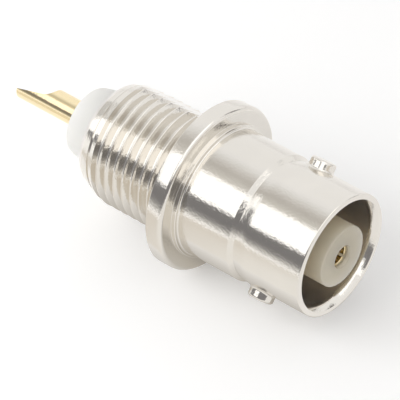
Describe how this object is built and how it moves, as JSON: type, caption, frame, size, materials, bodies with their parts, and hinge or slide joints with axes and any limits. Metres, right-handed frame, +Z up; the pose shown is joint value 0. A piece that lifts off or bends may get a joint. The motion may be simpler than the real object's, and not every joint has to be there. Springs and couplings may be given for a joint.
{
  "type": "bnc panel jack",
  "caption": "Round-flanged bulkhead coaxial jack with bayonet lugs, a threaded barrel with a flat, a plastic insulator and a gold-plated centre contact ending in a solder cup.",
  "frame": {"origin": "on the axis, in the plane of the flange face that bears on the panel", "axes": "+X along the mating axis, out of the mouth; +Z up, with the first lug and the flat turned 45 degrees from +Z toward +Y"},
  "size_m": [0.0299, 0.013, 0.013],
  "materials": {
    "nickel_plate": "bright nickel plate on turned brass, smooth, with fine turning lines",
    "insulator_plastic": "off-white moulded plastic, satin",
    "gold_plate": "bright gold plate"
  },
  "bodies": {
    "root": {"shell": "nickel_plate", "insulator": "insulator_plastic", "contact": "gold_plate"}
  },
  "joints": []
}
